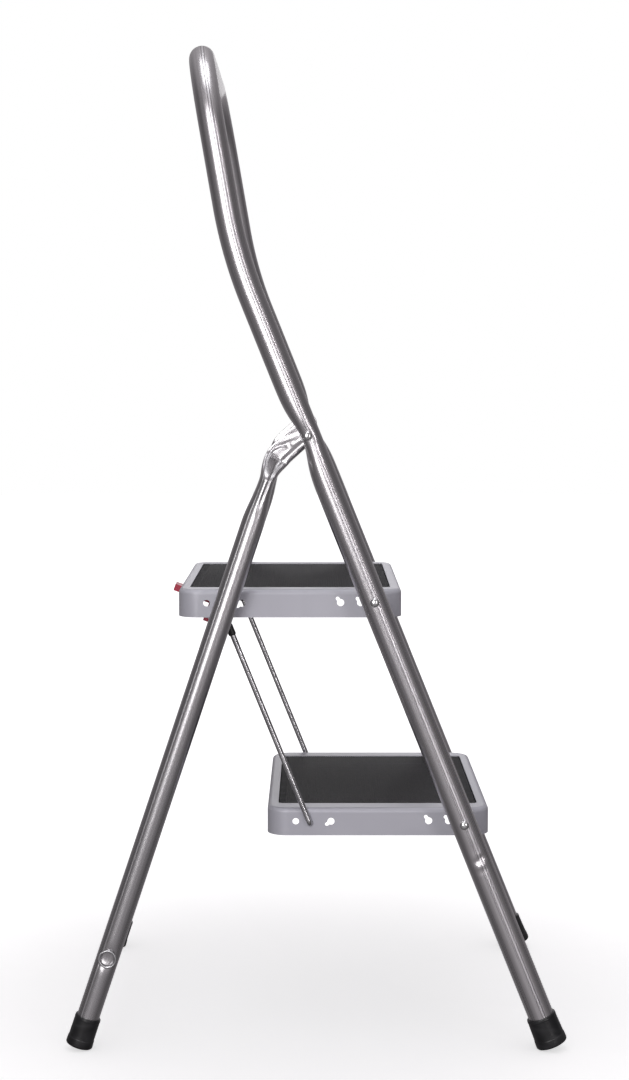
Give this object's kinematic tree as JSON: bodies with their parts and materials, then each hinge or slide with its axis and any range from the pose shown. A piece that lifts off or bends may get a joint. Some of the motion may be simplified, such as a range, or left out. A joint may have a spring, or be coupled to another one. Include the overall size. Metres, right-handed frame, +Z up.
{
  "type": "step stool",
  "caption": "Folding metal step stool with ribbed treads, a bent tube hand loop, hinged rear legs, link rods and rubber feet.",
  "frame": {"origin": "on the floor, at the middle of the stool's footprint", "axes": "+Z up, +X towards the side the user climbs from, +Y to the stool's left"},
  "size_m": [0.4867, 0.389, 0.9715],
  "materials": {
    "plated_tube": "bright plated tube, drawn lengthwise",
    "plated_wire": "bright plated wire",
    "rivet_steel": "polished domed rivet",
    "plain_steel": "zinc plated, satin",
    "grey_powder_coat": "light grey powder coat, satin",
    "ribbed_rubber": "black ribbed mat, satin",
    "black_rubber": "black moulded rubber",
    "black_plastic": "black moulded plastic",
    "red_plastic": "crimson moulded plastic"
  },
  "bodies": {
    "front_frame": {"front_tube": "plated_tube", "front_foot_left": "black_rubber", "front_foot_right": "black_rubber", "pivot_rivet_left": "rivet_steel", "pivot_rivet_right": "rivet_steel", "pivot_washer_left": "plain_steel", "pivot_washer_right": "plain_steel", "upper_step_rivet_left": "rivet_steel", "upper_step_rivet_right": "rivet_steel", "lower_step_rivet_left": "rivet_steel", "lower_step_rivet_right": "rivet_steel", "upper_step_spacer_left": "plain_steel", "upper_step_spacer_right": "plain_steel", "lower_step_spacer_left": "plain_steel", "lower_step_spacer_right": "plain_steel"},
    "rear_frame": {"rear_cross_tube": "plated_tube", "step_support_bar": "plated_tube", "rear_leg_left": "plated_tube", "rear_leg_right": "plated_tube", "rear_foot_left": "black_rubber", "rear_foot_right": "black_rubber"},
    "upper_step": {"upper_step_tray": "grey_powder_coat", "upper_step_mat": "ribbed_rubber", "latch_bracket": "plain_steel", "latch_pin": "plain_steel"},
    "lower_step": {"lower_step_tray": "grey_powder_coat", "lower_step_mat": "ribbed_rubber"},
    "latch": {"latch_lever": "red_plastic"},
    "link_left": {"link_rod_left": "plated_wire", "upper_rod_clip_left": "plain_steel", "lower_rod_clip_left": "plain_steel", "rod_sleeve_left": "black_plastic"},
    "link_right": {"link_rod_right": "plated_wire", "upper_rod_clip_right": "plain_steel", "lower_rod_clip_right": "plain_steel", "rod_sleeve_right": "black_plastic"}
  },
  "joints": [
    {"name": "rear_fold", "type": "hinge", "parent": "front_frame", "child": "rear_frame", "pos_m": [-0.00835, 0, 0.596], "axis": [0, -1, 0], "range_deg": [0, 38.4]},
    {"name": "upper_step_fold", "type": "hinge", "parent": "front_frame", "child": "upper_step", "pos_m": [0.05546, 0, 0.4375], "axis": [0, 1, 0], "range_deg": [0, 67.01]},
    {"name": "lower_step_fold", "type": "hinge", "parent": "front_frame", "child": "lower_step", "pos_m": [0.14202, 0, 0.2225], "axis": [0, 1, 0], "range_deg": [0, 67.01]},
    {"name": "latch_swing", "type": "hinge", "parent": "upper_step", "child": "latch", "pos_m": [-0.12574, 0, 0.426], "axis": [0, -1, 0], "range_deg": [0, 20]},
    {"name": "link_left_swing", "type": "hinge", "parent": "upper_step", "child": "link_left", "pos_m": [-0.09274, 0, 0.4306], "axis": [0, 1, 0], "range_deg": [-67.01, 0]},
    {"name": "link_right_swing", "type": "hinge", "parent": "upper_step", "child": "link_right", "pos_m": [-0.09274, 0, 0.4306], "axis": [0, 1, 0], "range_deg": [-67.01, 0]}
  ],
  "couplings": [
    {"joint": "upper_step_fold", "follows": "rear_fold", "ratio": 1.7448},
    {"joint": "lower_step_fold", "follows": "rear_fold", "ratio": 1.7448},
    {"joint": "link_left_swing", "follows": "rear_fold", "ratio": -1.7448},
    {"joint": "link_right_swing", "follows": "rear_fold", "ratio": -1.7448}
  ]
}
